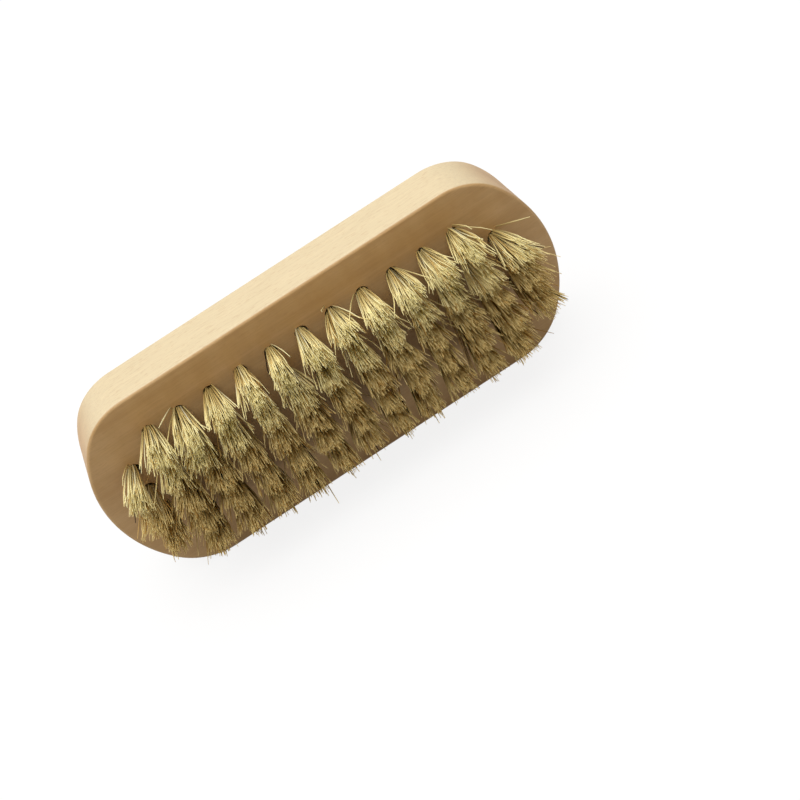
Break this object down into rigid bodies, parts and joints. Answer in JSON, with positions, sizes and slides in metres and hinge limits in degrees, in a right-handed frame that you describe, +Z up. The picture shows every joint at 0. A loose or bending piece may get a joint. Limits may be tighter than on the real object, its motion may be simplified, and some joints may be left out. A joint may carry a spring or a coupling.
{
  "type": "nail brush",
  "caption": "Double-sided wooden nail brush with rounded ends, a field of natural bristle tufts on one face and a slanted row of stiff tufts in a notch along its back.",
  "frame": {"origin": "middle of the footprint, on the surface that the brush's long side lies on", "axes": "+X along the block, +Y from the bristle tips to the notched back, +Z up across the block's width"},
  "size_m": [0.095, 0.03, 0.0405],
  "materials": {
    "wood": "satin",
    "field_bristle": "matte",
    "nail_bristle": "matte",
    "anchor_wire": "satin"
  },
  "bodies": {
    "root": {"wooden_block": "wood", "field_tufts_01": "field_bristle", "field_tufts_02": "field_bristle", "field_tufts_03": "field_bristle", "field_tufts_04": "field_bristle", "field_tufts_05": "field_bristle", "field_tufts_06": "field_bristle", "field_tufts_07": "field_bristle", "field_tufts_08": "field_bristle", "field_tufts_09": "field_bristle", "field_tufts_10": "field_bristle", "field_tufts_11": "field_bristle", "field_tufts_12": "field_bristle", "field_tufts_13": "field_bristle", "nail_tuft_01": "nail_bristle", "nail_tuft_02": "nail_bristle", "nail_tuft_03": "nail_bristle", "nail_tuft_04": "nail_bristle", "nail_tuft_05": "nail_bristle", "nail_tuft_06": "nail_bristle", "nail_tuft_07": "nail_bristle", "nail_tuft_08": "nail_bristle", "nail_tuft_09": "nail_bristle", "nail_tuft_10": "nail_bristle", "nail_tuft_11": "nail_bristle", "nail_tuft_12": "nail_bristle", "nail_tuft_13": "nail_bristle", "field_anchors": "anchor_wire", "nail_row_anchors": "anchor_wire"}
  },
  "joints": []
}
